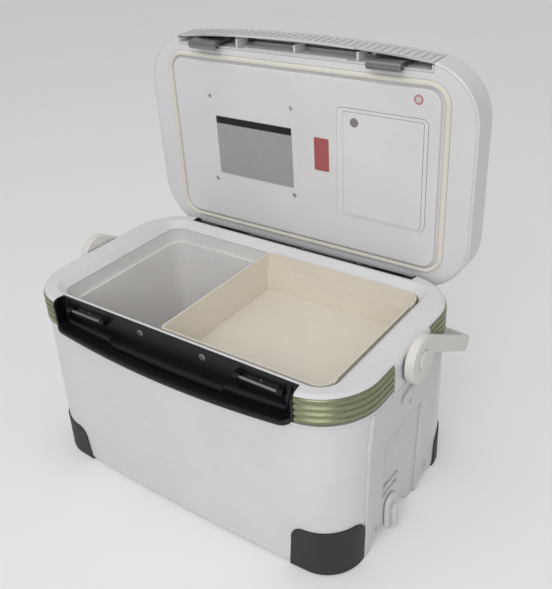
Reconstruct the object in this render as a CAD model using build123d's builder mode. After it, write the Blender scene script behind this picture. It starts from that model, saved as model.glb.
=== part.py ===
"""Cool-chain vaccine carrier: a hard insulated box whose lid latches and hinges on steel rods at the
front and at the rear, with a bail handle, a lift-out tray and a side drain.

Millimetres. X runs along the length, Y from front to back, Z up; the origin is at the centre of the base.
Lid pieces are drawn closed and then swung open about the rear rods.
"""

import os
from math import asin, cos, degrees, radians, sin, sqrt

from build123d import *

os.makedirs("parts", exist_ok=True)

# Body shell and rim
rim_width = 520.0
rim_depth = 290.0
rim_bow = 16.2
rim_radius = 77.0
rim_height = 272.0
rim_base = 230.0
rim_round = 9.5
base_width = 467.0
base_depth = 297.0
base_bow = 8.0
base_radius = 27.0
corner_width = 499.0
corner_radius = 50.0
base_round = 5.0
shell_top_width = 513.5
shell_top_depth = 286.5
shell_foot_gap = 2.0
shell_wall = 3.0
plinth_x = 150.0
plinth_y = 80.0
plinth_radius = 20.0
skirt_wall = 8.0
deck_thickness = 3.5
collar_height = 252.0
collar_wall = 3.5

# Opening, liner and floor
opening_x = 225.0
opening_y = 129.5
opening_radius = 28.0
seat_x = 216.0
seat_y = 118.5
seat_radius = 21.0
seat_height = 262.0
ledge_height = 240.0
ledge_x = 211.0
ledge_y = 114.5
floor_x = 200.0
floor_y = 104.0
floor_height = 38.0
floor_radius = 22.0
floor_round = 9.0
liner_wall = 2.5
liner_top = 259.8
liner_draft = 0.6
wall_gap = 0.2

# Latch panels: outline, lower edge, finger trough, shelf and lip
panel_edge_y = 133.2
panel_inner_x = 190.0
panel_outer_x = 192.5
panel_top = 271.8
panel_foot = 218.0
panel_gap = 0.2
lower_edge_x = 178.0
lower_edge_centre = 222.3
lower_edge_end = 227.5
lower_edge_rise = 5.5
lower_edge_run = 16.0
lower_edge_bend = 30.0
panel_wall_y = 136.5
well_x = 189.0
well_floor = 4.5
well_inset = 0.5
tub_x = 184.0
tub_wall = 6.0
tub_radius = 12.0
crest_inset = 9.5
shelf_section = ((-40, 246.7), (-15, 244.0), (-12, 243.4), (-11, 242.9), (-10.1, 241.8), (-9.5, 240.0))
end_wall_section = ((-136.9, 290), (-137.2, 270.5), (-139, 266.5), (-143, 247), (-144.6, 243.4))
shelf_dip = 5.4
dip_x = 90.0
dip_slope = 5.5
lip_height = 7.0
lip_reach = 5.8
lip_x = 190.5
lip_round = 2.2

# Latch rods, their bosses and the panel screws
rod_y = 142.6
rod_height = 259.4
rod_radius = 1.9
rod_centre_x = 139.5
rod_span = 69.0
rod_bury = 6.0
boss_length = 8.0
boss_radius = 3.4
panel_screws_at = ((-48.0, 3.4, 1.0), (53.0, 3.4, 1.0), (-139.5, 2.0, 0.0), (139.5, 2.0, 0.0))
panel_screw_height = 260.4
screw_shank = 1.2

# Trim bands
trim_base = 233.5
trim_height = 35.0
trim_ribs = 4
trim_depth = 2.6
trim_seat_depth = 4.0
trim_gap_y = 45.0

# Lid
lid_width = 515.0
lid_depth = 286.0
lid_bow = 16.2
lid_radius = 74.6
lid_base = 272.6
lid_top = 320.0
lid_round = 11.0
lid_lower_round = 2.5
lid_wall = 3.0
lid_foam_base = 280.1
open_angle = 89.65
gasket_x = 218.0
gasket_y = 124.5
gasket_radius = 3.9
gasket_gap = 0.1
gasket_corner = 26.0
gasket_height = 273.2
lid_panel_x = 211.5
lid_panel_y = 119.7
lid_panel_drop = 268.6
lid_panel_draft = 2.0
cover_x = (66.0, 196.0)
cover_y = (-82.0, 68.0)
cover_window = (114.8, 142.8)
lid_screws_at = ((-145.0, -69.5), (-145.0, 56.0), (-5.3, -69.5), (-5.3, 56.0))
sticker_dots_at = ((92.9, -64.1), (181.1, -104.8))
dot_radius = 6.0

# Levers and claws
channel_x = 197.0
channel_y = 137.0
channel_top = 308.5
channel_end = 175.0
housing_wall = 2.5
housing_outer_y = 154.0
housing_inset = 3.6
partition_x = 94.0
partition_half = 1.5
shaft_y = 145.5
shaft_height = 300.0
shaft_radius = 1.5
lever_base = 273.2
lever_top = 303.0
lever_inset = 2.0
lever_thickness = 3.0
lever_end_gap = 0.8
lever_grip_x = 92.0
lever_rib_count = 37
lever_rib_pitch = 10.4
lever_rib_half = 1.7
lever_rib_height = 1.4
lever_lug = 5.0
lever_lug_radius = 4.0
claw_width = 46.0
claw_bore = rod_radius + 0.08
claw_ring = 5.6
claw_mouth = 1.2
claw_hub = 4.0
spring_x = 83.0
spring_radius = 2.6
spring_wire = 0.5
spring_pitch = 1.4
spring_length = 8.4

# Handle
pivot_height = 254.0
handle_droop = 30.5
arm_outer_x = 274.0
arm_inner_x = 262.0
arm_low = 9.0
arm_high = 30.0
arm_round = 3.5
bail_reach = 195.6
bail_radius = 60.0
hub_radius = 30.0
hub_round = 2.5
hub_bore = 7.0
pin_radius = 6.9
cap_radius = 12.5
cap_round = 1.6
boss_disc_radius = 21.0
boss_disc_drop = 2.0

# Side plates, corner feet and drain
side_top = 229.0
side_top_x = 259.4
side_foot_x = 252.0
side_inner_x = 228.0
side_corner_x = 4.0
recess_y = (-58.0, 40.0)
recess_top = 163.0
recess_depth = 4.0
hub_recess = ((-26, 196), (-22, 223), (18, 223), (18, 209))
sight_hole = (1.4, 187.0)
sight_hole_radius = 3.2
side_screw_shank = 2.0
side_screw_head = 4.0
side_front_y = -98.0
side_rear_y = 87.0
side_front_top_y = -92.0
side_front_bend = (-97.0, 180.0)
side_foot_line = (
    (-80, 0),
    (-77, 10),
    (-58, 14),
    (-12, 24),
    (12, 15),
    (24, 0),
    (50, 0),
    (55, 8),
    (83, 15),
    (86, 60),
)
side_screws_at = ((-74.0, 33.0), (62.0, 33.0))
foot_height = 73.0
foot_low_height = 60.0
foot_skin = 2.0
foot_side_y = 98.0
foot_side_x = 178.0
foot_inner_x = 181.5
foot_inner_drop = 23.0
foot_round = 18.0
foot_end_round = 20.0
drain_y = -37.0
drain_height = 49.5
drain_bore = 9.0
bracket_y = (-57.0, -13.0)
bracket_z = (19.0, 82.0)
plug_half_y = 14.0
plug_low = 8.0
plug_high = 62.0
plug_fin_half = 4.0
plug_fin_x = 265.0

# Tray
tray_left = -32.0
tray_right = 213.0
tray_y = 117.4
tray_top = 264.0
tray_floor = 205.0
tray_wall = 2.5
tray_left_radius = 6.0
tray_right_radius = 19.5
tray_step = 5.5
tray_base_round = 3.0
tray_tabs_at = (-98.0, 90.0)

hinge_axis = Axis((0, rod_y, rod_height), (1, 0, 0))
bow_radius = ((rim_width / 2) ** 2 + rim_bow**2) / (2 * rim_bow)
bow_centre = bow_radius - rim_depth / 2 - rim_bow


def plan(height, width, depth, bow, radius):
    """Rounded rectangle with bowed front and back edges, at a height."""
    with BuildSketch(Plane.XY.offset(height)) as face:
        with BuildLine():
            front = ThreePointArc((-width / 2, -depth / 2), (0, -depth / 2 - bow), (width / 2, -depth / 2))
            side = Line(front @ 1, (width / 2, depth / 2))
            back = ThreePointArc(side @ 1, (0, depth / 2 + bow), (-width / 2, depth / 2))
            Line(back @ 1, front @ 0)
        outline = make_face()
        fillet(outline.vertices(), radius)
    add(face.sketch)


def rounded(height, half_x, half_y, radius):
    """Rounded rectangle given by its half sizes, at a height."""
    with BuildSketch(Plane.XY.offset(height)) as face:
        RectangleRounded(2 * half_x, 2 * half_y, radius)
    add(face.sketch)


def tapered_body(low, high, grow, foot_width=base_width, foot_radius=base_radius):
    """Loft of the body's taper between two heights, grown or shrunk by a wall."""
    for height in (low, high):
        share = height / rim_base
        plan(
            height,
            foot_width + (shell_top_width - foot_width) * share + 2 * grow,
            base_depth + (shell_top_depth - base_depth) * share + 2 * grow,
            base_bow + (rim_bow - base_bow) * share,
            foot_radius + (rim_radius - 3 - foot_radius) * share + grow,
        )
    loft()


def bowed_plan(height, half_x, inset, radius):
    """Rounded outline whose front and back follow the rim's bow at an inset, at a height."""
    curve = bow_radius - inset
    sag = curve - sqrt(curve**2 - half_x**2)
    plan(height, 2 * half_x, rim_depth + 2 * (rim_bow - inset - sag), sag, radius)


def panel_area(low, high, gap, mode=Mode.ADD):
    """Prism over the plan area of the front latch panel."""
    with BuildSketch(Plane.XY.offset(low)) as face:
        with BuildLine():
            Polyline(
                (-panel_inner_x - gap, -panel_edge_y + gap),
                (panel_inner_x + gap, -panel_edge_y + gap),
                (panel_outer_x + gap, -rim_depth / 2 - 8),
                (panel_outer_x + gap, -rim_depth / 2 - 40),
                (-panel_outer_x - gap, -rim_depth / 2 - 40),
                (-panel_outer_x - gap, -rim_depth / 2 - 8),
                close=True,
            )
        make_face()
    extrude(face.sketch, amount=high - low, mode=mode)


def beside_lower_edge(lift, far, mode, half_x=220.0, corner=0.0):
    """Everything in front of the body between the panel's curved lower edge, lifted, and a far height."""
    end = lower_edge_end + lift + lower_edge_rise * (half_x - lower_edge_x) / lower_edge_run
    with BuildSketch(Plane.XZ) as face:
        with BuildLine():
            edge = ThreePointArc(
                (-lower_edge_x, lower_edge_end + lift),
                (0, lower_edge_centre + lift),
                (lower_edge_x, lower_edge_end + lift),
            )
            Polyline(edge @ 1, (half_x, end), (half_x, far), (-half_x, far), (-half_x, end), edge @ 0)
        make_face()
        bends = face.vertices().filter_by(lambda spot: abs(abs(spot.X) - lower_edge_x) < 0.01)
        fillet(bends, lower_edge_bend)
        if corner:
            low_corners = face.vertices().filter_by(lambda spot: abs(spot.X) > half_x - 1 and spot.Y < far - 1)
            fillet(low_corners, corner)
    extrude(face.sketch, amount=200, mode=mode)


def bow_plane(half_x):
    """Upright plane through the bow's centre, turned to the left end of a bowed run."""
    turn = asin(half_x / bow_radius)
    return Plane(
        origin=(0, bow_centre, 0),
        x_dir=(-sin(turn), -cos(turn), 0),
        z_dir=(-cos(turn), sin(turn), 0),
    )


def bowed_run(half_x, section, mode=Mode.ADD):
    """Sweep a section of (offset, height) points along the front's bow, up to both ends."""
    with BuildSketch(bow_plane(half_x)) as face:
        with BuildLine():
            Polyline(*[(bow_radius + offset, height) for offset, height in section], close=True)
        make_face()
    revolve(
        face.sketch,
        axis=Axis((0, bow_centre, 0), (0, 0, 1)),
        revolution_arc=2 * degrees(asin(half_x / bow_radius)),
        mode=mode,
    )


def straight_run(low_x, high_x, section, mode=Mode.ADD):
    """Extrude a section of (y, z) points along X between two stations."""
    with BuildSketch(Plane.YZ.offset(low_x)) as face:
        with BuildLine():
            Polyline(*section, close=True)
        make_face()
    extrude(face.sketch, amount=high_x - low_x, mode=mode)


def bar(low_x, high_x, y, height, radius, mode=Mode.ADD):
    """Round bar along X between two stations."""
    with BuildSketch(Plane.YZ.offset(low_x)) as face:
        with Locations((y, height)):
            Circle(radius)
    extrude(face.sketch, amount=high_x - low_x, mode=mode)


def block(low, high, mode=Mode.ADD):
    """Box between two corners."""
    centre = tuple((a + b) / 2 for a, b in zip(low, high))
    size = tuple(b - a for a, b in zip(low, high))
    with Locations(centre):
        Box(*size, mode=mode)


def rear_of(part):
    """The same piece on the rear side."""
    return part.mirror(Plane.XZ)


def right_of(part):
    """The same piece on the other end."""
    return part.mirror(Plane.YZ)


def opened(part):
    """A lid piece swung from closed to its open rest."""
    return part.rotate(hinge_axis, -open_angle)


def keep(part, name):
    """Name a finished piece and write it."""
    part.label = name
    export_step(part, f"parts/{name}.step")


# Body shell with full corners and a seat for each side plate between them, rim and trim
with BuildPart() as side_wall:
    tapered_body(-2, rim_base, 0)
with BuildPart() as side_seat:
    with BuildSketch(Plane.YZ.offset(side_inner_x)):
        with BuildLine():
            Polyline(
                (side_front_y, -2),
                (side_rear_y, -2),
                (side_rear_y, side_top),
                (side_front_top_y, side_top),
                side_front_bend,
                (side_front_y, 0),
                close=True,
            )
        make_face()
    extrude(amount=rim_width / 2 - side_inner_x)
side_seats = side_seat.part - side_wall.part
side_seats += right_of(side_seats)
with BuildPart() as shell_solid:
    tapered_body(shell_foot_gap, rim_base, 0, corner_width, corner_radius)
    fillet(shell_solid.edges().group_by(Axis.Z)[0], base_round)
    rounded(0, plinth_x, plinth_y, plinth_radius)
    extrude(amount=shell_foot_gap + 1)
with BuildPart() as shell_core:
    tapered_body(shell_foot_gap + shell_wall, rim_base + 1, -shell_wall)
with BuildPart() as shell_drain_cut:
    bar(200, 270, drain_y, drain_height, drain_bore + 2.5)
with BuildPart() as front_room:
    panel_area(panel_foot, lid_top, panel_gap)
    beside_lower_edge(2.0, lid_top + 10, Mode.INTERSECT)
panel_room = front_room.part + rear_of(front_room.part)
shell_blank = shell_solid.part - side_seats
keep(shell_blank - shell_core.part - shell_drain_cut.part - panel_room, "outer_shell")

with BuildPart() as top_rim:
    plan(rim_base, rim_width, rim_depth, rim_bow, rim_radius)
    extrude(amount=rim_height - rim_base)
    fillet(top_rim.edges().group_by(Axis.Z)[-1], rim_round)
    rounded(rim_height + 0.01, opening_x, opening_y, opening_radius)
    rounded(seat_height, seat_x, seat_y, seat_radius)
    loft(mode=Mode.SUBTRACT)
    rounded(rim_base - 1, seat_x, seat_y, seat_radius)
    extrude(amount=seat_height - rim_base + 1, mode=Mode.SUBTRACT)
    slot = liner_wall + wall_gap
    rounded(rim_base - 1, seat_x + slot, seat_y + slot, seat_radius + slot)
    extrude(amount=liner_top + wall_gap - rim_base + 1, mode=Mode.SUBTRACT)
with BuildPart() as rim_pocket:
    plan(rim_base - 1, rim_width - 2 * skirt_wall, rim_depth - 2 * skirt_wall, rim_bow, rim_radius - skirt_wall)
    extrude(amount=rim_height - deck_thickness - rim_base + 1)
    rounded(collar_height, opening_x + collar_wall, opening_y + collar_wall, opening_radius + collar_wall)
    extrude(amount=rim_height - collar_height, mode=Mode.SUBTRACT)
with BuildPart() as trim_seat:
    plan(trim_base - 0.2, rim_width + 2, rim_depth + 2, rim_bow, rim_radius + 1)
    extrude(amount=trim_height + 0.4)
    seat_inset = trim_seat_depth + 0.1
    seat = (rim_width - 2 * seat_inset, rim_depth - 2 * seat_inset)
    plan(trim_base - 1, *seat, rim_bow, rim_radius - seat_inset)
    extrude(amount=trim_height + 2, mode=Mode.SUBTRACT)
    block((-300, -trim_gap_y + 0.15, 200), (300, trim_gap_y - 0.15, 300), Mode.SUBTRACT)
with BuildPart() as pivot_pin:
    bar(256, arm_outer_x - 1, 0, pivot_height, pin_radius)
keep(pivot_pin.part, "pivot_pin_right")
keep(right_of(pivot_pin.part), "pivot_pin_left")
pin_pair = pivot_pin.part + right_of(pivot_pin.part)
keep(top_rim.part - rim_pocket.part - trim_seat.part - pin_pair - panel_room, "top_rim")

rib_pitch = trim_height / trim_ribs


def trim_plan(height, inset):
    """Outline of the trim bands, at a height."""
    plan(height, rim_width - 1 - 2 * inset, rim_depth - 1 - 2 * inset, rim_bow, rim_radius - 0.5 - inset)


with BuildPart() as rim_outside:
    plan(rim_base, rim_width - 1, rim_depth - 1, rim_bow, rim_radius - 0.5)
    extrude(amount=rim_height - rim_base)
    fillet(rim_outside.edges().group_by(Axis.Z)[-1], rim_round)
with BuildPart() as trim_all:
    for index in range(trim_ribs):
        low = trim_base + index * rib_pitch
        trim_plan(low, trim_depth)
        trim_plan(low + rib_pitch * 0.3, 0)
        loft()
        trim_plan(low + rib_pitch * 0.3, 0)
        extrude(amount=rib_pitch * 0.4)
        trim_plan(low + rib_pitch * 0.7, 0)
        trim_plan(low + rib_pitch, trim_depth)
        loft()
    back = trim_seat_depth
    plan(trim_base - 1, rim_width - 2 * back, rim_depth - 2 * back, rim_bow, rim_radius - back)
    extrude(amount=trim_height + 2, mode=Mode.SUBTRACT)
for name, side_sign, depth_sign in (
    ("trim_front_left", -1, -1),
    ("trim_front_right", 1, -1),
    ("trim_rear_left", -1, 1),
    ("trim_rear_right", 1, 1),
):
    with BuildPart() as corner:
        block((150, trim_gap_y, 200), (300, 200, 300))
    corner_part = corner.part if depth_sign > 0 else rear_of(corner.part)
    corner_part = corner_part if side_sign > 0 else right_of(corner_part)
    keep((trim_all.part & rim_outside.part & corner_part) - panel_room, name)

with BuildPart() as liner_outside:
    rounded(floor_height - liner_wall, floor_x + liner_wall, floor_y + liner_wall, floor_radius + liner_wall)
    rounded(ledge_height - liner_wall, ledge_x + liner_wall, ledge_y + liner_wall, seat_radius + liner_wall)
    loft()
    top_grow = liner_wall - liner_draft
    rounded(ledge_height - liner_wall, seat_x + top_grow, seat_y + top_grow, seat_radius + liner_wall)
    rounded(liner_top, seat_x + liner_wall, seat_y + liner_wall, seat_radius + liner_wall)
    loft()
with BuildPart() as liner_space:
    rounded(floor_height, floor_x, floor_y, floor_radius)
    rounded(ledge_height, ledge_x, ledge_y, seat_radius)
    loft()
    fillet(liner_space.edges().group_by(Axis.Z)[0], floor_round)
    rounded(ledge_height, seat_x - liner_draft, seat_y - liner_draft, seat_radius)
    rounded(liner_top + 1, seat_x, seat_y, seat_radius)
    loft()
with BuildPart() as drain_hole:
    bar(190, 270, drain_y, drain_height, drain_bore + 1.5)
keep(liner_outside.part - liner_space.part - drain_hole.part, "inner_liner")

def on_lip_front(edge):
    """Whether an edge runs along the lip's front face, short of its ends."""
    spot = edge @ 0.5
    reach = sqrt(spot.X**2 + (bow_centre - spot.Y) ** 2) - bow_radius
    return reach > 2 and abs(spot.X) < lip_x - 4 and edge.geom_type != GeomType.LINE


# Front latch panel: a blank shaped like the rim, hollowed by the finger trough, with a lip and a shelf
with BuildPart() as panel_blank:
    skin = 0.3
    plan(panel_foot, rim_width - 2 * skin, rim_depth - 2 * skin, rim_bow, rim_radius - skin)
    extrude(amount=panel_top - panel_foot)
    fillet(panel_blank.edges().group_by(Axis.Z)[-1], rim_round)
    panel_area(panel_foot - 1, panel_top + 1, 0, Mode.INTERSECT)
    beside_lower_edge(2.0 + panel_gap, panel_top + 10, Mode.INTERSECT)
with BuildPart() as panel_well:
    bowed_plan(panel_foot, well_x, well_inset, 1.5)
    extrude(amount=lid_top - panel_foot)
    block((-well_x - 1, -200, panel_foot - 1), (well_x + 1, -panel_wall_y, lid_top + 1), Mode.INTERSECT)
    beside_lower_edge(well_floor, lid_top + 10, Mode.INTERSECT)
with BuildPart() as panel_mouth:
    beside_lower_edge(lip_height, lid_top, Mode.ADD, well_x, 5.0)
    bowed_run(well_x + 1, ((-3, 200), (30, 200), (30, 330), (-3, 330)), Mode.INTERSECT)
with BuildPart() as panel_lip:
    bowed_plan(panel_foot, lip_x, -lip_reach, tub_radius)
    extrude(amount=30)
    bowed_plan(panel_foot - 1, lip_x + 10, 1.5, 1.0)
    extrude(amount=32, mode=Mode.SUBTRACT)
    beside_lower_edge(0, lid_top, Mode.INTERSECT)
    beside_lower_edge(lip_height, 200, Mode.INTERSECT)
    fillet(panel_lip.edges().filter_by(on_lip_front), lip_round)
with BuildPart() as rim_below_panel:
    plan(rim_base - panel_gap, rim_width + 2 * panel_gap, rim_depth + 2 * panel_gap, rim_bow, rim_radius)
    extrude(amount=20)
    beside_lower_edge(2.0 + panel_gap, 200, Mode.INTERSECT)
with BuildPart() as panel_tub:
    bowed_plan(panel_foot, tub_x, crest_inset, tub_radius)
    extrude(amount=panel_top - panel_foot)
    block((-tub_x - 1, -200, panel_foot - 1), (tub_x + 1, -panel_edge_y - 1, panel_top + 1), Mode.INTERSECT)
    beside_lower_edge(3.0, lid_top, Mode.INTERSECT)
    bowed_run(tub_x - tub_wall, shelf_section + ((20, 240), (20, 290), (-40, 290)), Mode.SUBTRACT)
    bowed_run(tub_x + 1, shelf_section[3:] + ((20, 240), (20, 244), (-11, 244)), Mode.SUBTRACT)
    straight_run(-tub_x - 1, tub_x + 1, end_wall_section + ((-200, 243.4), (-200, 290)), Mode.SUBTRACT)
with BuildPart() as panel_dip:
    lowered = tuple((offset, height - shelf_dip) for offset, height in shelf_section)
    bowed_run(dip_x + dip_slope + 1, lowered + ((20, 234), (20, 290), (-40, 290)))
    block((-dip_x - 20, -200, 200), (dip_x + 20, -panel_wall_y, 300), Mode.INTERSECT)
    with BuildSketch(Plane.XZ) as dip_shape:
        with BuildLine():
            Polyline(
                (-dip_x - dip_slope, 300),
                (-dip_x - dip_slope, 244),
                (-dip_x, 236),
                (-dip_x, 225),
                (dip_x, 225),
                (dip_x, 236),
                (dip_x + dip_slope, 244),
                (dip_x + dip_slope, 300),
                close=True,
            )
        make_face()
    extrude(dip_shape.sketch, amount=200, mode=Mode.INTERSECT)
rod_low = rod_centre_x - rod_span / 2
rod_high = rod_centre_x + rod_span / 2
rod_start = rod_low + boss_length - rod_bury
rod_stop = rod_high - boss_length + rod_bury
with BuildPart() as catch_rod:
    bar(rod_start, rod_stop, -rod_y, rod_height, rod_radius)
    chamfer(catch_rod.edges().filter_by(GeomType.CIRCLE), 0.4)
with BuildPart() as rod_bosses:
    for low in (rod_low, rod_high - boss_length):
        high = low + boss_length
        bar(low, high, -rod_y, rod_height, boss_radius)
        block((low, -rod_y, rod_height - boss_radius), (high, -panel_wall_y + 1, rod_height + boss_radius))
    bar(rod_start, rod_stop, -rod_y, rod_height, rod_radius, Mode.SUBTRACT)
keep(right_of(catch_rod.part), "catch_rod_front_left")
keep(catch_rod.part, "catch_rod_front_right")
keep(rear_of(right_of(catch_rod.part)), "catch_rod_rear_left")
keep(rear_of(catch_rod.part), "catch_rod_rear_right")

with BuildPart() as front_panel_screws:
    for station, head_radius, proud in panel_screws_at:
        for radius, near_y, far_y in ((head_radius, proud, 0.8), (screw_shank, 0.0, 2.6)):
            with BuildSketch(Plane.XZ.offset(panel_wall_y - far_y)) as disc:
                with Locations((station, panel_screw_height)):
                    Circle(radius)
            extrude(disc.sketch, amount=far_y + near_y)
keep(front_panel_screws.part, "front_panel_screws")
keep(rear_of(front_panel_screws.part), "rear_panel_screws")
panel_shape = panel_blank.part - panel_well.part - panel_mouth.part
panel_shape = panel_shape + (panel_lip.part - rim_below_panel.part) + panel_tub.part - panel_dip.part
panel_shape = panel_shape + rod_bosses.part + right_of(rod_bosses.part) - front_panel_screws.part
keep(panel_shape, "front_latch_panel")
keep(rear_of(panel_shape), "rear_latch_panel")

# Corner feet: the one below the drain's end stands higher than the others


def corner_foot(height):
    """Rubber skin round the front right corner, up to a height."""
    with BuildPart() as skin:
        tapered_body(0, height, foot_skin, corner_width, corner_radius)
        fillet(skin.edges().group_by(Axis.Z)[0], base_round)
    outer = rim_width / 2
    with BuildPart() as region:
        with BuildSketch(Plane.XZ.offset(foot_side_y)) as front_shape:
            with BuildLine():
                bend = (foot_inner_x, height - foot_inner_drop)
                top = (foot_inner_x, height - 3)
                Polyline((foot_side_x, 0), bend, top, (outer, height), (outer, 0), close=True)
            make_face()
            fillet(front_shape.vertices().sort_by(Axis.Y)[-2:].sort_by(Axis.X)[0], foot_round)
        extrude(front_shape.sketch, amount=100)
        with BuildSketch(Plane.YZ) as end_shape:
            with BuildLine():
                Polyline((-200, 0), (-foot_side_y, 0), (-foot_side_y, height), (-200, height), close=True)
            make_face()
            fillet(end_shape.vertices().sort_by(Axis.Y)[-2:].sort_by(Axis.X)[-1], foot_end_round)
        extrude(end_shape.sketch, amount=outer, mode=Mode.INTERSECT)
    return (skin.part & region.part) - shell_solid.part


foot_low = corner_foot(foot_low_height)
keep(corner_foot(foot_height), "foot_front_right")
keep(right_of(foot_low), "foot_front_left")
keep(rear_of(right_of(foot_low)), "foot_rear_left")
keep(rear_of(foot_low), "foot_rear_right")


def side_face(height):
    """How far out the side plate's sloping face stands, at a height."""
    return side_foot_x + (side_top_x - side_foot_x) * height / side_top


def beyond_side(inset, heights, stations):
    """Take off everything beyond the side plate's face less an inset, between heights and stations."""
    low, high = heights
    with BuildSketch(Plane.XZ.offset(-stations[1])) as face:
        with BuildLine():
            near = (side_face(low) - inset, low)
            far = (side_face(high) - inset, high)
            Polyline(near, (rim_width, low), (rim_width, high), far, close=True)
        make_face()
    extrude(face.sketch, amount=stations[1] - stations[0], mode=Mode.SUBTRACT)


# Side plates with rails, stepped feet and a window for the drain
with BuildPart() as side_block:
    with BuildSketch(Plane.YZ.offset(side_inner_x)) as side_outline:
        with BuildLine():
            Polyline(
                (side_front_y, 0),
                *side_foot_line,
                (side_rear_y, side_top),
                (side_front_top_y, side_top),
                side_front_bend,
                close=True,
            )
        make_face()
        fillet(side_outline.vertices(), 3)
    extrude(side_outline.sketch, amount=rim_width / 2 - side_inner_x)
    beyond_side(0, (-1, side_top + 1), (-200, 200))
    fillet(side_block.edges().filter_by(lambda edge: edge.length > 100 and (edge @ 0.5).X > 254), side_corner_x)
    beyond_side(recess_depth, (-1, recess_top), recess_y)
    with BuildSketch(Plane.YZ.offset(side_top_x - 7)) as hub_shape:
        with BuildLine():
            Polyline(*hub_recess, close=True)
        make_face()
    extrude(hub_shape.sketch, amount=20, mode=Mode.SUBTRACT)
    bar(side_inner_x, rim_width / 2 + 5, *sight_hole, sight_hole_radius, Mode.SUBTRACT)
with BuildPart() as drain_window:
    block((side_inner_x - 1, bracket_y[0] - 1, -1), (rim_width / 2 + 5, bracket_y[1] + 1, bracket_z[1] + 1))
    block((side_inner_x - 1, bracket_y[0] - 1, 0), (rim_width / 2 + 5, bracket_y[0] + 18, bracket_z[1] + 4.5))
with BuildPart() as side_screws:
    for station, height in side_screws_at:
        face = side_face(height)
        bar(face - 8, face - 0.5, station, height, side_screw_shank)
        bar(face - 1.0, face + 1.8, station, height, side_screw_head)
    fillet(side_screws.edges().filter_by(lambda edge: (edge @ 0).X > side_face(33) + 1.5), 1.2)
with BuildPart() as side_core:
    tapered_body(-1, rim_base, 0.05)
side_whole = side_block.part - side_core.part - side_screws.part
keep(side_screws.part, "side_plate_screws_right")
keep(right_of(side_screws.part), "side_plate_screws_left")
keep(side_whole - drain_window.part, "side_plate_right")
keep(right_of(side_whole), "side_plate_left")

# Drain: bracket in the side plate's window, tube through the wall, pull-out plug with a hanging grip
with BuildPart() as drain_bracket:
    block((236, bracket_y[0], bracket_z[0]), (side_face(50) - 1, bracket_y[1], bracket_z[1]))
    fillet(drain_bracket.edges().filter_by(Axis.X), 5)
    block((side_face(50) - 5, bracket_y[0] + 3, 68), (side_face(50) + 1, bracket_y[1] - 3, 76), Mode.SUBTRACT)
    bar(200, 260, drain_y, drain_height, drain_bore + 1.0, Mode.SUBTRACT)
keep(drain_bracket.part - side_core.part, "drain_bracket")
with BuildPart() as drain_tube:
    bar(200, 249, drain_y, drain_height, drain_bore + 0.9)
    bar(199, 250, drain_y, drain_height, drain_bore, Mode.SUBTRACT)
keep(drain_tube.part - liner_space.part, "drain_tube")
with BuildPart() as drain_plug:
    bar(210, 255, drain_y, drain_height, drain_bore - 0.6)
    with BuildSketch(Plane.YZ.offset(side_face(50))) as plug_head:
        with Locations((drain_y, (plug_low + plug_high) / 2)):
            RectangleRounded(2 * plug_half_y, plug_high - plug_low, plug_half_y - 1)
    extrude(plug_head.sketch, amount=5)
    fillet(drain_plug.edges().group_by(Axis.X)[-1], 2)
    fin_low = (side_face(50) + 4, drain_y - plug_fin_half, plug_low + 4)
    block(fin_low, (plug_fin_x, drain_y + plug_fin_half, plug_high - 14))
    fillet(drain_plug.edges().group_by(Axis.X)[-1], 2)
keep(drain_plug.part, "drain_plug")
with BuildPart() as plug_seal:
    bar(214, 217, drain_y, drain_height, drain_bore - 0.15)
    bar(213, 218, drain_y, drain_height, drain_bore - 0.6, Mode.SUBTRACT)
keep(plug_seal.part, "drain_plug_seal")

# Tray


def tray_plan(height, inset, step):
    """Plan of the tray, inset all round and stepped in on three sides, at a height."""
    left = tray_left + inset
    right = tray_right - inset - step
    half = tray_y - inset - step
    with BuildSketch(Plane.XY.offset(height)) as shape:
        with Locations(((left + right) / 2, 0)):
            Rectangle(right - left, 2 * half)
        fillet(shape.vertices().sort_by(Axis.X)[:2], tray_left_radius - inset)
        fillet(shape.vertices().sort_by(Axis.X)[-2:], tray_right_radius - inset)
    return shape.sketch


hang_height = ledge_height + 0.3
with BuildPart() as tray:
    extrude(tray_plan(hang_height, 0, 0), amount=tray_top - hang_height)
    extrude(tray_plan(tray_floor, 0, tray_step), amount=hang_height + 1 - tray_floor)
    fillet(tray.edges().group_by(Axis.Z)[0], tray_base_round)
    extrude(tray_plan(tray_floor + tray_wall, tray_wall, tray_step), amount=80, mode=Mode.SUBTRACT)
    extrude(tray_plan(hang_height + tray_wall, tray_wall, 0), amount=80, mode=Mode.SUBTRACT)
    for station in tray_tabs_at:
        block((tray_right - 0.5, station - 4, tray_top - 6), (tray_right + 1.4, station + 4, tray_top))
keep(tray.part, "tray")

# Handle: a bail whose arms stand off above the line through their hubs
droop = radians(handle_droop)
rise = (0, sin(droop), cos(droop))
arm_width = arm_outer_x - arm_inner_x
arm_size = arm_high - arm_low


def bail_plane(height):
    """Plane of the bail at a distance above the line through the hubs."""
    return Plane(origin=(0, height * rise[1], pivot_height + height * rise[2]), x_dir=(1, 0, 0), z_dir=rise)


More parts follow.
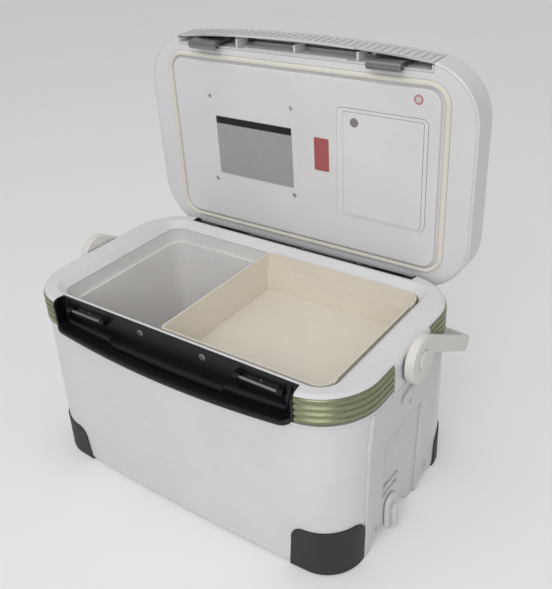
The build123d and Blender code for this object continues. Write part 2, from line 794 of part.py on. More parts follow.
with BuildPart() as bail:
    with BuildSketch(bail_plane(arm_low)) as bail_shape:
        with Locations((0, bail_reach / 2)):
            Rectangle(2 * arm_outer_x, bail_reach)
        fillet(bail_shape.vertices().sort_by(Axis.Y)[-2:], bail_radius)
    extrude(bail_shape.sketch, amount=arm_size)
    with BuildSketch(bail_plane(arm_low - 1)) as bail_hollow:
        with Locations((0, (bail_reach - arm_width) / 2 - 20)):
            Rectangle(2 * arm_inner_x, bail_reach - arm_width + 40)
        fillet(bail_hollow.vertices().sort_by(Axis.Y)[-2:], bail_radius - arm_width)
    extrude(bail_hollow.sketch, amount=arm_size + 2, mode=Mode.SUBTRACT)
    fillet(bail.edges().filter_by(lambda edge: edge.length > 60), arm_round)
with BuildPart() as hub:
    bar(arm_inner_x, arm_outer_x, 0, pivot_height, hub_radius)
    fillet(hub.edges().filter_by(GeomType.CIRCLE), hub_round)
with BuildPart() as hub_hole:
    bar(arm_inner_x - 5, arm_outer_x + 5, 0, pivot_height, hub_bore)
with BuildPart() as cap_seat:
    bar(arm_outer_x - 1, arm_outer_x + 5, 0, pivot_height, cap_radius + 0.3)
hub_cuts = hub_hole.part + cap_seat.part
bail_part = bail.part + hub.part + right_of(hub.part) - hub_cuts - right_of(hub_cuts)
keep(bail_part, "handle_bail")
with BuildPart() as pivot_cap:
    bar(arm_outer_x - 0.9, arm_outer_x + 2.2, 0, pivot_height, cap_radius)
    fillet(pivot_cap.edges().sort_by(Axis.X)[-1], cap_round)
keep(pivot_cap.part, "pivot_cap_right")
keep(right_of(pivot_cap.part), "pivot_cap_left")
with BuildPart() as pivot_boss:
    bar(248, arm_inner_x - 0.4, 0, pivot_height - boss_disc_drop, boss_disc_radius)
    block((240, -30, 269), (270, 30, 280), Mode.SUBTRACT)
with BuildPart() as rim_block:
    plan(200, rim_width, rim_depth, rim_bow, rim_radius)
    extrude(amount=100)
boss_right = pivot_boss.part - rim_block.part - pivot_pin.part
keep(boss_right, "pivot_boss_right")
keep(right_of(boss_right), "pivot_boss_left")

# Lid


def lid_plan(height, grow):
    """Outline of the lid grown or shrunk, at a height."""
    plan(height, lid_width + 2 * grow, lid_depth + 2 * grow, lid_bow, lid_radius + grow)


with BuildPart() as channel_cut:
    for side in (-1, 1):
        low, high = sorted((side * channel_y, side * channel_end))
        block((-channel_x, low, lid_base - 1), (channel_x, high, channel_top))
with BuildPart() as lid_shell:
    lid_plan(lid_base, 0)
    extrude(amount=lid_top - lid_base)
    fillet(lid_shell.edges().group_by(Axis.Z)[-1], lid_round)
    fillet(lid_shell.edges().group_by(Axis.Z)[0], lid_lower_round)
with BuildPart() as lid_hollow:
    lid_plan(lid_base - 1, -lid_wall)
    extrude(amount=lid_top - lid_wall - lid_base + 1)
    fillet(lid_hollow.edges().group_by(Axis.Z)[-1], lid_round - lid_wall)
lid_shell_closed = lid_shell.part - lid_hollow.part - channel_cut.part
keep(opened(lid_shell_closed), "lid_shell")

with BuildPart() as lid_liner:
    lid_plan(lid_base, -lid_wall - 0.1)
    extrude(amount=lid_wall)
    rounded(lid_panel_drop, lid_panel_x - lid_panel_draft, lid_panel_y - lid_panel_draft, 18)
    rounded(lid_base + lid_wall, lid_panel_x, lid_panel_y, 20)
    loft()
    fillet(lid_liner.edges().group_by(Axis.Z)[0], 1.8)
    rounded(lid_base + lid_wall, gasket_x + 8, gasket_y + 8, gasket_corner + 8)
    extrude(amount=3.6)
    rounded(lid_panel_drop + 3, lid_panel_x - 5, lid_panel_y - 5, 15)
    extrude(amount=20, mode=Mode.SUBTRACT)
groove = gasket_radius + gasket_gap
with BuildPart() as gasket_groove:
    rounded(lid_base - 1, gasket_x + groove, gasket_y + groove, gasket_corner + groove)
    extrude(amount=gasket_height + groove - lid_base + 1)
    rounded(lid_base - 1, gasket_x - groove, gasket_y - groove, gasket_corner - groove)
    extrude(amount=gasket_height + groove - lid_base + 1, mode=Mode.SUBTRACT)
lid_liner_closed = lid_liner.part - gasket_groove.part - channel_cut.part

with BuildPart() as lid_gasket:
    with BuildLine(Plane.XY.offset(gasket_height)) as gasket_path:
        Polyline(
            (0, -gasket_y),
            (gasket_x, -gasket_y),
            (gasket_x, gasket_y),
            (-gasket_x, gasket_y),
            (-gasket_x, -gasket_y),
            close=True,
        )
        corners = gasket_path.vertices().filter_by(lambda corner: abs(corner.X) > 1)
        fillet(corners, gasket_corner)
    with BuildSketch(Plane(origin=(0, -gasket_y, gasket_height), x_dir=(0, 1, 0), z_dir=(1, 0, 0))) as bead:
        Circle(gasket_radius)
    sweep(bead.sketch, path=gasket_path.wires()[0])
keep(opened(lid_gasket.part), "lid_gasket")

with BuildPart() as lid_foam:
    lid_plan(lid_foam_base, -lid_wall - 0.3)
    extrude(amount=lid_top - lid_wall - 0.3 - lid_foam_base)
    fillet(lid_foam.edges().group_by(Axis.Z)[-1], lid_round - lid_wall)
    for side in (-1, 1):
        low, high = sorted((side * (channel_y - 3), side * channel_end))
        block((-channel_x - 3, low, lid_base - 1), (channel_x + 3, high, lid_top + 10), Mode.SUBTRACT)
keep(opened(lid_foam.part), "lid_insulation")

# Access cover let into the lid's inner face, with a frame round it, and the screws of the inner face
cover_centre = (sum(cover_x) / 2, sum(cover_y) / 2)
cover_size = (cover_x[1] - cover_x[0], cover_y[1] - cover_y[0])
window_centre = (cover_centre[0] + 2, cover_centre[1] + 1)


def slab_on_lid(height, centre, size, radius, thick, mode=Mode.ADD):
    """Rounded slab in the plane of the lid's inner face, from a height up."""
    with BuildSketch(Plane.XY.offset(height)) as shape:
        with Locations(centre):
            RectangleRounded(*size, radius)
    extrude(shape.sketch, amount=thick, mode=mode)


with BuildPart() as cover_recess:
    slab_on_lid(lid_panel_drop - 1, cover_centre, cover_size, 8, 2.0)
with BuildPart() as access_panel:
    slab_on_lid(lid_panel_drop - 0.4, cover_centre, (cover_size[0] - 0.8, cover_size[1] - 0.8), 7.6, 1.3)
    slab_on_lid(lid_panel_drop - 1, window_centre, cover_window, 3, 4, Mode.SUBTRACT)
keep(opened(access_panel.part), "access_frame")
with BuildPart() as access_cover:
    slab_on_lid(lid_panel_drop - 0.8, window_centre, (cover_window[0] - 0.8, cover_window[1] - 0.8), 3, 1.7)
keep(opened(access_cover.part), "access_cover")
with BuildPart() as lid_screws:
    for spot in lid_screws_at:
        with BuildSketch(Plane.XY.offset(lid_panel_drop - 0.5)) as head_shape:
            with Locations(spot):
                Circle(2.4)
        extrude(head_shape.sketch, amount=8)
keep(opened(lid_screws.part), "lid_screws")
keep(opened(lid_liner_closed - cover_recess.part - lid_screws.part), "lid_liner")


def plate_on_lid(centre, size, radius, thick, lift=0.0):
    """Thin rounded plate lying on the lid's inner face, or on another plate there."""
    slab_on_lid(lid_panel_drop - lift - thick, centre, size, radius, thick)


with BuildPart() as record_plate:
    plate_on_lid((-71.5, 1.5), (131, 87), 1.5, 0.5)
keep(opened(record_plate.part), "record_plate")
with BuildPart() as record_header:
    plate_on_lid((-71.5, -36.5), (130.5, 10), 0.5, 0.15, 0.5)
keep(opened(record_header.part), "record_plate_header")
with BuildPart() as seal_sticker:
    plate_on_lid((42, -12.5), (23, 46), 2, 0.3)
keep(opened(seal_sticker.part), "seal_sticker")
with BuildPart() as round_stickers:
    for spot, lift in zip(sticker_dots_at, (0.8, 0.0)):
        with BuildSketch(Plane.XY.offset(lid_panel_drop - lift - 0.3)) as dot:
            with Locations(spot):
                Circle(dot_radius)
        extrude(dot.sketch, amount=0.3)
keep(opened(round_stickers.part), "round_stickers")

# Latch housings, lever shafts, levers, claws and springs, drawn closed at the front
with BuildPart() as front_housing:
    outer_x = channel_x - 0.3
    inner_x = outer_x - housing_wall
    back_y = -channel_y - 0.3
    roof = channel_top - 0.3
    block((-outer_x, -housing_outer_y, lid_base + 0.2), (outer_x, back_y, roof))
    block((-inner_x, -180, lid_base - 1), (inner_x, back_y - housing_wall, roof - housing_wall), Mode.SUBTRACT)
    for station in (-partition_x, 0, partition_x):
        low, high = station - partition_half, station + partition_half
        block((low, -151, lid_base + 2), (high, -channel_y - 1, channel_top - 1))
    block((-80, -141.5, lid_base + 1.2), (80, -138.5, lid_base + 3.2))
    bar(-channel_x - 1, channel_x + 1, -shaft_y, shaft_height, shaft_radius + 0.02, Mode.SUBTRACT)
with BuildPart() as housing_limit:
    lid_plan(lid_base - 5, -housing_inset)
    extrude(amount=60)
housing_part = front_housing.part & housing_limit.part
keep(opened(housing_part), "front_latch_housing")
keep(opened(rear_of(housing_part)), "rear_latch_housing")

with BuildPart() as front_shaft:
    bar(-channel_x + 0.6, channel_x - 0.6, -shaft_y, shaft_height, shaft_radius)
keep(opened(front_shaft.part), "front_lever_shaft")
keep(opened(rear_of(front_shaft.part)), "rear_lever_shaft")

lever_back = lever_inset + lever_thickness
lever_section = (
    (-lever_back, lever_base + 1),
    (-lever_inset, lever_base),
    (-lever_inset, lever_top - 4),
    (-lever_inset - 1.4, lever_top),
    (-lever_back, lever_top),
)
grip_section = (
    (-lever_back, lever_base + 2),
    (-lever_inset, lever_base + 2),
    (-lever_inset + 0.8, lever_base - 3.2),
    (-lever_back + 0.8, lever_base - 3.2),
)
with BuildPart() as front_lever:
    bowed_run(channel_x - lever_end_gap, lever_section)
    bowed_run(lever_grip_x, grip_section)
    for index in range(lever_rib_count):
        station = (index - (lever_rib_count - 1) / 2) * lever_rib_pitch
        face_y = bow_centre - sqrt((bow_radius - lever_inset) ** 2 - station**2)
        rib_low = (station - lever_rib_half, face_y - lever_rib_height, lever_base + 1.5)
        block(rib_low, (station + lever_rib_half, face_y + 1, lever_top - 4.5))
    for side in (-1, 1):
        for station, plate_y in ((105, -155), (172, -150.6)):
            low, high = sorted((side * station, side * (station + lever_lug)))
            block((low, plate_y, shaft_height - 7), (high, -shaft_y, shaft_height + 2.6))
            bar(low, high, -shaft_y, shaft_height, lever_lug_radius)
    bar(-channel_x, channel_x, -shaft_y, shaft_height, shaft_radius + 0.05, Mode.SUBTRACT)
keep(opened(front_lever.part), "front_lever")
keep(opened(rear_of(front_lever.part)), "rear_lever")

with BuildPart() as claw:
    claw_low = rod_centre_x - claw_width / 2
    claw_high = rod_centre_x + claw_width / 2
    web = (
        (-rod_y - claw_ring, rod_height),
        (-rod_y - 2.4, rod_height),
        (-shaft_y + 1.2, shaft_height),
        (-shaft_y - 3.6, shaft_height),
    )
    straight_run(claw_low, claw_high, web)
    bar(claw_low, claw_high, -shaft_y, shaft_height, claw_hub)
    bar(claw_low, claw_high, -rod_y, rod_height, claw_ring)
    bar(claw_low - 1, claw_high + 1, -rod_y, rod_height, claw_bore, Mode.SUBTRACT)
    mouth_low = (claw_low - 1, -rod_y, rod_height - claw_bore)
    mouth_high = (claw_high + 1, -rod_y + 8, rod_height + claw_bore + claw_mouth)
    block(mouth_low, mouth_high, Mode.SUBTRACT)
    bar(claw_low - 1, claw_high + 1, -shaft_y, shaft_height, shaft_radius + 0.05, Mode.SUBTRACT)
keep(opened(claw.part), "front_claw_right")
keep(opened(right_of(claw.part)), "front_claw_left")
keep(opened(rear_of(claw.part)), "rear_claw_right")
keep(opened(rear_of(right_of(claw.part))), "rear_claw_left")

with BuildPart() as spring:
    coil_start = (spring_x, -shaft_y, shaft_height)
    with BuildLine() as coil:
        Helix(spring_pitch, spring_length, spring_radius, center=coil_start, direction=(1, 0, 0))
    with BuildSketch(Plane(origin=coil.line @ 0, z_dir=coil.line % 0)) as wire:
        Circle(spring_wire)
    sweep(wire.sketch, path=coil.line)
spring_pair = spring.part + right_of(spring.part)
keep(opened(spring_pair), "front_lever_springs")
keep(opened(rear_of(spring_pair)), "rear_lever_springs")

# Foam between shell and liner
with BuildPart() as body_foam:
    tapered_body(shell_foot_gap + shell_wall + 0.2, rim_base - 0.1, -shell_wall - 0.2)
with BuildPart() as collar_foam:
    inset = skirt_wall + 0.3
    plan(rim_base - 0.2, rim_width - 2 * inset, rim_depth - 2 * inset, rim_bow, rim_radius - inset)
    extrude(amount=rim_height - deck_thickness - 0.2 - rim_base)
    collar = collar_wall + 0.3
    rounded(collar_height - 0.3, opening_x + collar, opening_y + collar, opening_radius + collar)
    extrude(amount=30, mode=Mode.SUBTRACT)
with BuildPart() as drain_clear:
    bar(190, 270, drain_y, drain_height, drain_bore + 1.6)
with BuildPart() as liner_clear:
    grow = liner_wall + 0.2
    low = ledge_height - grow
    rounded(floor_height - grow, floor_x + grow, floor_y + grow, floor_radius + liner_wall)
    rounded(low, ledge_x + grow, ledge_y + grow, seat_radius + liner_wall)
    loft()
    rounded(low, seat_x + grow, seat_y + grow, seat_radius + liner_wall)
    extrude(amount=60)
foam_part = body_foam.part + collar_foam.part - liner_clear.part - drain_clear.part - panel_room
keep(foam_part, "body_insulation")
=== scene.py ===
"""Looks of the vaccine carrier: materials, small detail pieces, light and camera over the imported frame.

Metres, in the frame of the CAD model.
"""

from math import cos, pi, radians, sin, sqrt

import bmesh
import bpy
from mathutils import Matrix, Vector


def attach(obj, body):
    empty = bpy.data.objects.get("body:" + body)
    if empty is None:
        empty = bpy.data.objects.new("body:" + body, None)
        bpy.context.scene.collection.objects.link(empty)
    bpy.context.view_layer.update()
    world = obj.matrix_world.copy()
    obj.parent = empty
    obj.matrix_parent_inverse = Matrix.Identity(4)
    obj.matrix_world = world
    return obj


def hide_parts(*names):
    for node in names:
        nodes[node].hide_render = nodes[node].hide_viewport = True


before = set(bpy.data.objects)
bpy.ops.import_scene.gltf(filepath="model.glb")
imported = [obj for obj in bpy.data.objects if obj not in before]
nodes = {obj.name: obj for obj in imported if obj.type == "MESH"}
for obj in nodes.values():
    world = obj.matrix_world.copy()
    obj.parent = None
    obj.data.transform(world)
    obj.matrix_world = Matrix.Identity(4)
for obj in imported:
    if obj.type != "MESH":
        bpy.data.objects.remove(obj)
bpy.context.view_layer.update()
scene = bpy.context.scene

# Camera
PICTURE_HEIGHT = 589
SENSOR = 36.0
FOCAL_PIXELS = 766.8
AZIMUTH = 36.97
ELEVATION = 30.49
DISTANCE = 1.1223
TARGET = Vector((-0.0074, 0.0961, 0.2094))
ROLL = 0.06

camera_data = bpy.data.cameras.new("camera")
camera_data.sensor_width = SENSOR
camera_data.lens = FOCAL_PIXELS * SENSOR / PICTURE_HEIGHT
camera = bpy.data.objects.new("camera", camera_data)
scene.collection.objects.link(camera)
azimuth, elevation = radians(AZIMUTH), radians(ELEVATION)
back = Vector((sin(azimuth) * cos(elevation), -cos(azimuth) * cos(elevation), sin(elevation)))
level_right = (-back).cross(Vector((0, 0, 1))).normalized()
level_up = level_right.cross(-back)
right = cos(ROLL) * level_right - sin(ROLL) * level_up
up = sin(ROLL) * level_right + cos(ROLL) * level_up
turn = Matrix((right, up, back)).transposed()
camera.matrix_world = Matrix.Translation(TARGET + back * DISTANCE) @ turn.to_4x4()
scene.camera = camera

scene.view_settings.view_transform = "Standard"


class Shader:
    """A node tree being built, with short calls for the nodes this scene uses."""

    def __init__(self, name):
        self.material = bpy.data.materials.new(name)
        self.material.use_nodes = True
        self.tree = self.material.node_tree
        self.surface = self.tree.nodes["Principled BSDF"]
        self.place = self.node("ShaderNodeTexCoord").outputs["Object"]

    def node(self, kind, **settings):
        made = self.tree.nodes.new(kind)
        for key, value in settings.items():
            setattr(made, key, value)
        return made

    def put(self, value, socket):
        """Link an output, or write a plain value, into a socket."""
        if isinstance(value, bpy.types.NodeSocket):
            self.tree.links.new(value, socket)
        else:
            socket.default_value = value

    def stretch(self, scale):
        """The object's own coordinates, scaled along each axis."""
        mapping = self.node("ShaderNodeMapping")
        self.put(self.place, mapping.inputs["Vector"])
        mapping.inputs["Scale"].default_value = scale
        return mapping.outputs["Vector"]

    def noise(self, scale, detail=3.0, rough=0.55, where=None):
        texture = self.node("ShaderNodeTexNoise")
        self.put(where or self.place, texture.inputs["Vector"])
        texture.inputs["Scale"].default_value = scale
        texture.inputs["Detail"].default_value = detail
        texture.inputs["Roughness"].default_value = rough
        return texture.outputs["Fac"]

    def math(self, operation, first, second=0.0, third=0.0):
        made = self.node("ShaderNodeMath", operation=operation)
        self.put(first, made.inputs[0])
        self.put(second, made.inputs[1])
        self.put(third, made.inputs[2])
        return made.outputs[0]

    def span(self, value, low, high, to_low=0.0, to_high=1.0):
        made = self.node("ShaderNodeMapRange")
        self.put(value, made.inputs["Value"])
        made.inputs["From Min"].default_value = low
        made.inputs["From Max"].default_value = high
        made.inputs["To Min"].default_value = to_low
        made.inputs["To Max"].default_value = to_high
        return made.outputs["Result"]

    def mix(self, share, first, second):
        made = self.node("ShaderNodeMix", data_type="RGBA")
        self.put(share, made.inputs["Factor"])
        self.put(first, made.inputs[6])
        self.put(second, made.inputs[7])
        return made.outputs[2]

    def edge(self, radius):
        """1 on outer edges and 0 on flats, from how much a rounded normal differs."""
        bevel = self.node("ShaderNodeBevel", samples=6)
        bevel.inputs["Radius"].default_value = radius
        plain = self.node("ShaderNodeNewGeometry").outputs["Normal"]
        dot = self.node("ShaderNodeVectorMath", operation="DOT_PRODUCT")
        self.put(bevel.outputs["Normal"], dot.inputs[0])
        self.put(plain, dot.inputs[1])
        return self.span(dot.outputs["Value"], 0.995, 0.85), bevel.outputs["Normal"]

    def crevice(self, reach):
        """1 deep in seams and recesses and 0 in the open, from how much the near surfaces close it in."""
        made = self.node("ShaderNodeAmbientOcclusion", samples=8)
        made.inputs["Distance"].default_value = reach
        return self.span(made.outputs["AO"], 0.25, 0.8, 1.0, 0.0)

    def bump(self, height, distance, strength=1.0, normal=None):
        made = self.node("ShaderNodeBump")
        self.put(height, made.inputs["Height"])
        made.inputs["Distance"].default_value = distance
        made.inputs["Strength"].default_value = strength
        if normal:
            self.put(normal, made.inputs["Normal"])
        return made.outputs["Normal"]


def colour(red, green, blue):
    """Linear colour with alpha from sRGB numbers of 0 to 255."""
    linear = []
    for value in (red, green, blue):
        value = value / 255
        linear.append(value / 12.92 if value <= 0.04045 else ((value + 0.055) / 1.055) ** 2.4)
    return (*linear, 1.0)


def shade(tone, factor):
    """A colour made darker or lighter."""
    return (*[min(1.0, part * factor) for part in tone[:3]], 1.0)


def plastic(
    name,
    tone,
    rough,
    grain=900.0,
    depth=0.00004,
    edge_radius=0.0009,
    wear=0.12,
    coat=0.0,
    gloss=0.5,
    crevice_shade=0.55,
):
    """Moulded plastic: soft edges, fine surface grain, faint mottling, scuffs, painted shade in seams and
    recesses, and edge wear.
    """
    shader = Shader(name)
    inputs = shader.surface.inputs
    cloud = shader.span(shader.noise(9.0, 4.0, 0.6), 0.35, 0.65)
    mottled = shader.mix(cloud, shade(tone, 0.965), shade(tone, 1.02))
    specks = shader.span(shader.noise(190.0, 3.0, 0.6), 0.66, 0.76, 0.0, 0.08)
    grimy = shader.mix(specks, mottled, shade(tone, 0.7))
    edge_mask, soft_normal = shader.edge(edge_radius)
    patch = shader.span(shader.noise(55.0, 4.0, 0.7), 0.45, 0.65)
    worn_edge = shader.math("MULTIPLY", shader.math("MULTIPLY", edge_mask, patch), wear)
    rubbed = shade(tone, 1.8) if max(tone[:3]) < 0.3 else shade(tone, 0.6)
    # Painted shade: the base colour darkens towards 0.3 of its tone in seams and recesses, where shade falls.
    crevice_shade_share = shader.math("MULTIPLY", shader.crevice(0.005), crevice_shade)
    crevice_shaded = shader.mix(crevice_shade_share, grimy, shade(tone, 0.3))
    shader.put(shader.mix(worn_edge, crevice_shaded, rubbed), inputs["Base Color"])
    streak = shader.noise(40.0, 5.0, 0.7, shader.stretch((1.0, 5.0, 9.0)))
    roughness = shader.span(streak, 0.3, 0.75, rough - 0.04, rough + 0.08)
    shader.put(shader.math("ADD", roughness, shader.math("MULTIPLY", worn_edge, 0.5)), inputs["Roughness"])
    fine = shader.bump(shader.noise(grain, 2.0, 0.5), depth, 1.0, soft_normal)
    shader.put(shader.bump(shader.noise(16.0, 2.0, 0.5), 0.00025, 0.3, fine), inputs["Normal"])
    inputs["Specular IOR Level"].default_value = gloss
    inputs["Coat Weight"].default_value = coat
    inputs["Coat Roughness"].default_value = 0.12
    return shader


def metal(
    name,
    tone,
    rough,
    run=(1.0, 60.0, 60.0),
    depth=0.00002,
    edge_radius=0.0004,
    metallic=1.0,
    edge_highlight=0.4,
    crevice_shade=0.0,
):
    """Drawn or brushed metal: streaks along one way, faint tarnish, painted shade in grooves and painted
    highlights on edges.
    """
    shader = Shader(name)
    inputs = shader.surface.inputs
    streak = shader.noise(70.0, 4.0, 0.6, shader.stretch(run))
    tarnish = shader.span(shader.noise(60.0, 4.0, 0.65), 0.4, 0.7)
    body = shader.mix(shader.span(streak, 0.3, 0.7), shade(tone, 0.88), shade(tone, 1.1))
    aged = shader.mix(shader.math("MULTIPLY", tarnish, 0.25), body, shade(tone, 0.65))
    # Painted shade: the base colour darkens towards 0.35 of its tone in grooves and seams.
    groove_shaded = shader.mix(shader.math("MULTIPLY", shader.crevice(0.004), crevice_shade), aged, shade(tone, 0.35))
    edge_mask, soft_normal = shader.edge(edge_radius)
    # Painted highlight: outer edges and crests are lightened towards 1.9 times the tone.
    edge_highlight_share = shader.math("MULTIPLY", edge_mask, edge_highlight)
    shader.put(shader.mix(edge_highlight_share, groove_shaded, shade(tone, 1.9)), inputs["Base Color"])
    inputs["Metallic"].default_value = metallic
    shader.put(shader.span(streak, 0.25, 0.75, rough * 0.8, rough * 1.3), inputs["Roughness"])
    shader.put(shader.bump(streak, depth, 1.0, soft_normal), inputs["Normal"])
    return shader


def stripe(shader, along, pitch, share):
    """1 on a line that repeats every pitch along one axis, 0 between the lines."""
    axes = shader.node("ShaderNodeSeparateXYZ")
    shader.put(shader.place, axes.inputs["Vector"])
    turns = shader.math("DIVIDE", axes.outputs[along], pitch)
    return shader.math("LESS_THAN", shader.math("FRACT", turns), share)


WHITE = colour(229, 228, 229)
LINER = colour(234, 232, 230)
LID_INNER = colour(231, 230, 231)
COVER = colour(233, 232, 233)
PLATE = colour(222, 220, 221)
TRAY = colour(231, 224, 210)
CREAM = colour(231, 228, 221)
GASKET = colour(233, 229, 219)
BLACK = colour(14, 15, 18)
FOOT = colour(52, 53, 56)
STEEL = colour(150, 150, 150)
DARK_STEEL = colour(104, 103, 102)
OLIVE = colour(140, 143, 112)

# Each plastic darkens its seams and recesses with painted shade; the liner and the tray take only a little of
# it.
body_white = plastic("body_white", WHITE, 0.30, 600.0, 0.00002, 0.0012, 0.08, coat=0.2)
liner_white = plastic("liner_white", LINER, 0.34, 500.0, 0.00003, 0.0010, 0.06, coat=0.1, crevice_shade=0.15)
lid_white = plastic("lid_inner", LID_INNER, 0.40, 900.0, 0.00003, 0.0012, 0.05)
cover_white = plastic("cover_white", COVER, 0.38, 900.0, 0.00003, 0.0005, 0.06)
plate_white = plastic("plate_white", PLATE, 0.38, 1100.0, 0.00004, 0.0009, 0.10)
handle_cream = plastic("handle_cream", CREAM, 0.34, 800.0, 0.00003, 0.0012, 0.10)
tray_beige = plastic("tray_beige", TRAY, 0.33, 700.0, 0.00003, 0.0010, 0.10, crevice_shade=0.1)
panel_black = plastic("panel_black", BLACK, 0.36, 1500.0, 0.00006, 0.0007, 0.30, gloss=0.35)
foot_grey = plastic("foot_grey", FOOT, 0.55, 1300.0, 0.00010, 0.0009, 0.30, gloss=0.35)
gasket_cream = plastic("gasket_cream", GASKET, 0.55, 1200.0, 0.00008, 0.0005, 0.05, gloss=0.3)
seal_black = plastic("seal_black", colour(40, 41, 43), 0.5, 1200.0, 0.00010, 0.0006, 0.25)
foam_tan = plastic("foam_tan", colour(224, 212, 170), 0.8, 400.0, 0.0004, 0.0005, 0.0)
steel = metal("steel", STEEL, 0.32)
dark_steel = metal("dark_steel", DARK_STEEL, 0.36)
# The trim takes strong painted highlights on its crests and strong painted shade in its valleys.
olive = metal("olive_trim", OLIVE, 0.28, (1.0, 1.0, 20.0), 0.000008, 0.0016, 0.6, edge_highlight=0.9, crevice_shade=0.9)
zinc = metal("zinc", colour(205, 205, 205), 0.5)
rod_steel = metal("rod_steel", colour(152, 151, 147), 0.42)

FINISHES = {
    body_white: ("outer_shell", "top_rim", "lid_shell", "pivot_boss_left", "pivot_boss_right"),
    liner_white: ("inner_liner",),
    lid_white: ("lid_liner",),
    cover_white: ("access_frame", "access_cover"),
    plate_white: (
        "side_plate_left",
        "side_plate_right",
        "drain_bracket",
        "drain_tube",
        "drain_plug",
        "side_plate_screws_left",
        "side_plate_screws_right",
        "front_latch_housing",
        "rear_latch_housing",
        "front_lever",
        "rear_lever",
    ),
    handle_cream: ("handle_bail", "pivot_cap_left", "pivot_cap_right"),
    tray_beige: ("tray",),
    panel_black: ("front_latch_panel", "rear_latch_panel", "record_plate_header"),
    foot_grey: ("foot_front_left", "foot_front_right", "foot_rear_left", "foot_rear_right"),
    gasket_cream: ("lid_gasket",),
    seal_black: ("drain_plug_seal",),
    foam_tan: ("body_insulation", "lid_insulation"),
    olive: ("trim_front_left", "trim_front_right", "trim_rear_left", "trim_rear_right"),
    rod_steel: (
        "catch_rod_front_left",
        "catch_rod_front_right",
        "catch_rod_rear_left",
        "catch_rod_rear_right",
    ),
    dark_steel: (
        "front_lever_shaft",
        "rear_lever_shaft",
        "front_lever_springs",
        "rear_lever_springs",
    ),
    steel: (
        "front_panel_screws",
        "rear_panel_screws",
        "lid_screws",
        "front_claw_left",
        "front_claw_right",
        "rear_claw_left",
        "rear_claw_right",
        "pivot_pin_left",
        "pivot_pin_right",
    ),
}


def dress(name, shader):
    """Give every slot of a CAD node this material."""
    mesh = nodes[name].data
    mesh.materials.clear()
    mesh.materials.append(shader.material)


for shader, names in FINISHES.items():
    for name in names:
        dress(name, shader)

# Blank ruled record plate, plain sticker and round stickers
plate_grey = plastic("plate_grey", colour(172, 174, 176), 0.36, 900.0, 0.00002, 0.0003, 0.1)
plate_base = plate_grey.surface.inputs["Base Color"]
plain_tone = plate_base.links[0].from_socket
RULE_PITCH = 0.0034
RULE_SHARE = 0.22
ruled = stripe(plate_grey, "Z", RULE_PITCH, RULE_SHARE)
plate_grey.put(plate_grey.mix(ruled, plain_tone, colour(142, 144, 146)), plate_base)
dress("record_plate", plate_grey)
sticker_red = plastic("sticker_red", colour(176, 92, 92), 0.45, 900.0, 0.00002, 0.0003, 0.1)
dress("seal_sticker", sticker_red)


def islands(node):
    """The separate solids of a CAD node, each as its lowest and highest corner."""
    mesh = nodes[node].data
    made = bmesh.new()
    made.from_mesh(mesh)
    bmesh.ops.remove_doubles(made, verts=made.verts, dist=0.00001)
    left = set(made.verts)
    found = []
    while left:
        group = [left.pop()]
        for spot in group:
            for edge in spot.link_edges:
                other = edge.other_vert(spot)
                if other in left:
                    left.remove(other)
                    group.append(other)
        low = Vector([min(spot.co[axis] for spot in group) for axis in range(3)])
        high = Vector([max(spot.co[axis] for spot in group) for axis in range(3)])
        found.append((low, high))
    made.free()
    return found


# Round stickers: a grey one, and a pale one with a red rim
pale_low, pale_high = max(islands("round_stickers"), key=lambda corners: corners[0].x)
pale_middle = (pale_low + pale_high) / 2
sticker_shader = plastic("sticker_pale", colour(214, 206, 205), 0.45, 900.0, 0.00002, 0.0003, 0.1)
from_middle = sticker_shader.node("ShaderNodeVectorMath", operation="DISTANCE")
sticker_shader.put(sticker_shader.place, from_middle.inputs[0])
from_middle.inputs[1].default_value = pale_middle
reach = (pale_high.x - pale_low.x) / 2
on_rim = sticker_shader.span(from_middle.outputs["Value"], 0.66 * reach, 0.74 * reach)
elsewhere = sticker_shader.math("GREATER_THAN", from_middle.outputs["Value"], 2 * reach)
sticker_base = sticker_shader.surface.inputs["Base Color"]
rimmed = sticker_shader.mix(on_rim, sticker_base.links[0].from_socket, colour(186, 120, 118))
sticker_shader.put(sticker_shader.mix(elsewhere, rimmed, colour(138, 132, 134)), sticker_base)
dress("round_stickers", sticker_shader)


HEAD_RINGS = 12
HEAD_SIDES = 48
CROSS_ARM = 0.62
CROSS_HALF = 0.16
CROSS_DEPTH = 0.35
DOME = 0.0006
SKIRT = 0.001


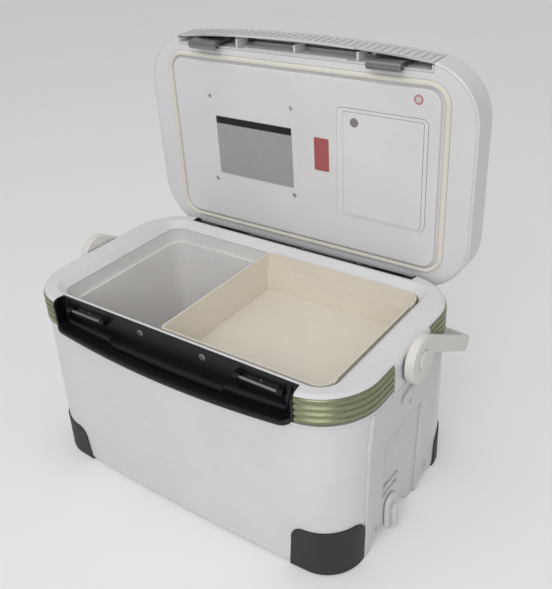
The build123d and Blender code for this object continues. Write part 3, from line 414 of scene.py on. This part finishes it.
def cross_heads(name, node, outward, body, shader):
    """Domed screw heads with a cross recess, one on each solid of a node of screws."""
    outward = Vector(outward)
    across = outward.orthogonal().normalized()
    upright = outward.cross(across)
    made = bmesh.new()
    for low, high in islands(node):
        middle = (low + high) / 2
        size = high - low
        reach = max(abs(size.dot(across)), abs(size.dot(upright))) / 2
        half = abs(size.dot(outward)) / 2
        base = middle + outward * (half - DOME)
        twist = (middle.x * 37.0 + middle.z * 53.0) % pi
        crown = made.verts.new(base + outward * (DOME - CROSS_DEPTH * reach * CROSS_HALF))
        last = [crown] * HEAD_SIDES
        for ring in range(1, HEAD_RINGS + 1):
            share = ring / HEAD_RINGS
            row = []
            for side in range(HEAD_SIDES):
                angle = 2 * pi * side / HEAD_SIDES
                along, beside = abs(cos(angle)) * share, abs(sin(angle)) * share
                cut = min(along, beside) < CROSS_HALF and max(along, beside) < CROSS_ARM
                height = DOME * sqrt(max(0.0, 1 - share**2.6)) - (CROSS_DEPTH * reach if cut else 0.0)
                turned = angle + twist
                flat = across * cos(turned) + upright * sin(turned)
                row.append(made.verts.new(base + flat * reach * share + outward * height))
            for side in range(HEAD_SIDES):
                after = (side + 1) % HEAD_SIDES
                corners = [last[side], row[side], row[after]]
                if ring > 1:
                    corners.append(last[after])
                made.faces.new(corners)
            last = row
        skirt = [made.verts.new(spot.co - outward * SKIRT) for spot in last]
        for side in range(HEAD_SIDES):
            after = (side + 1) % HEAD_SIDES
            made.faces.new([last[side], skirt[side], skirt[after], last[after]])
        made.faces.new(skirt)
    bmesh.ops.recalc_face_normals(made, faces=made.faces)
    mesh = bpy.data.meshes.new(name)
    made.to_mesh(mesh)
    made.free()
    mesh.materials.append(shader.material)
    piece = bpy.data.objects.new(name, mesh)
    scene.collection.objects.link(piece)
    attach(piece, body)
    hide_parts(node)


cross_heads("front_panel_screw_heads", "front_panel_screws", (0, -1, 0), "body", steel)
cross_heads("rear_panel_screw_heads", "rear_panel_screws", (0, 1, 0), "body", steel)
cross_heads("side_screw_heads_right", "side_plate_screws_right", (1, 0, 0), "body", plate_white)
cross_heads("side_screw_heads_left", "side_plate_screws_left", (-1, 0, 0), "body", plate_white)
cross_heads("lid_screw_heads", "lid_screws", (0, -1, 0), "lid_unit", zinc)

# Floor, world and lamps
FLOOR_SIZE = 12.0
FLOOR_GLOW = 0.22
WORLD_TONE = (0.98, 0.985, 1.0, 1.0)
WORLD_STRENGTH = 0.48
AIM = (0, 0, 0.2)

floor_shader = Shader("floor")
floor_tone = floor_shader.mix(floor_shader.noise(3.0, 3.0), colour(214, 214, 214), colour(220, 220, 220))
floor_shader.put(floor_tone, floor_shader.surface.inputs["Base Color"])
floor_shader.surface.inputs["Roughness"].default_value = 0.9
floor_shader.surface.inputs["Emission Color"].default_value = (1.0, 1.0, 1.0, 1.0)
rays = floor_shader.node("ShaderNodeLightPath").outputs
seen = floor_shader.math("MAXIMUM", rays["Is Camera Ray"], rays["Is Glossy Ray"])
seen = floor_shader.math("MAXIMUM", seen, rays["Is Transmission Ray"])
floor_glow = floor_shader.math("MULTIPLY", seen, FLOOR_GLOW)
floor_shader.put(floor_glow, floor_shader.surface.inputs["Emission Strength"])
bpy.ops.mesh.primitive_plane_add(size=FLOOR_SIZE, location=(0, 0, 0))
floor = bpy.context.object
floor.name = "floor"
floor.data.materials.append(floor_shader.material)

world = bpy.data.worlds.new("world")
world.use_nodes = True
background = world.node_tree.nodes["Background"]
background.inputs["Color"].default_value = WORLD_TONE
background.inputs["Strength"].default_value = WORLD_STRENGTH
scene.world = world


def lamp(name, size, power, where, towards):
    """Soft square lamp aimed at a point."""
    data = bpy.data.lights.new(name, "AREA")
    data.shape = "SQUARE"
    data.size = size
    data.energy = power
    made = bpy.data.objects.new(name, data)
    scene.collection.objects.link(made)
    made.location = where
    made.rotation_euler = (Vector(towards) - Vector(where)).to_track_quat("-Z", "Y").to_euler()


lamp("key", 1.3, 18.0, (0.8, -1.7, 1.55), AIM)
lamp("top", 1.8, 6.5, (-0.3, -0.3, 2.4), AIM)
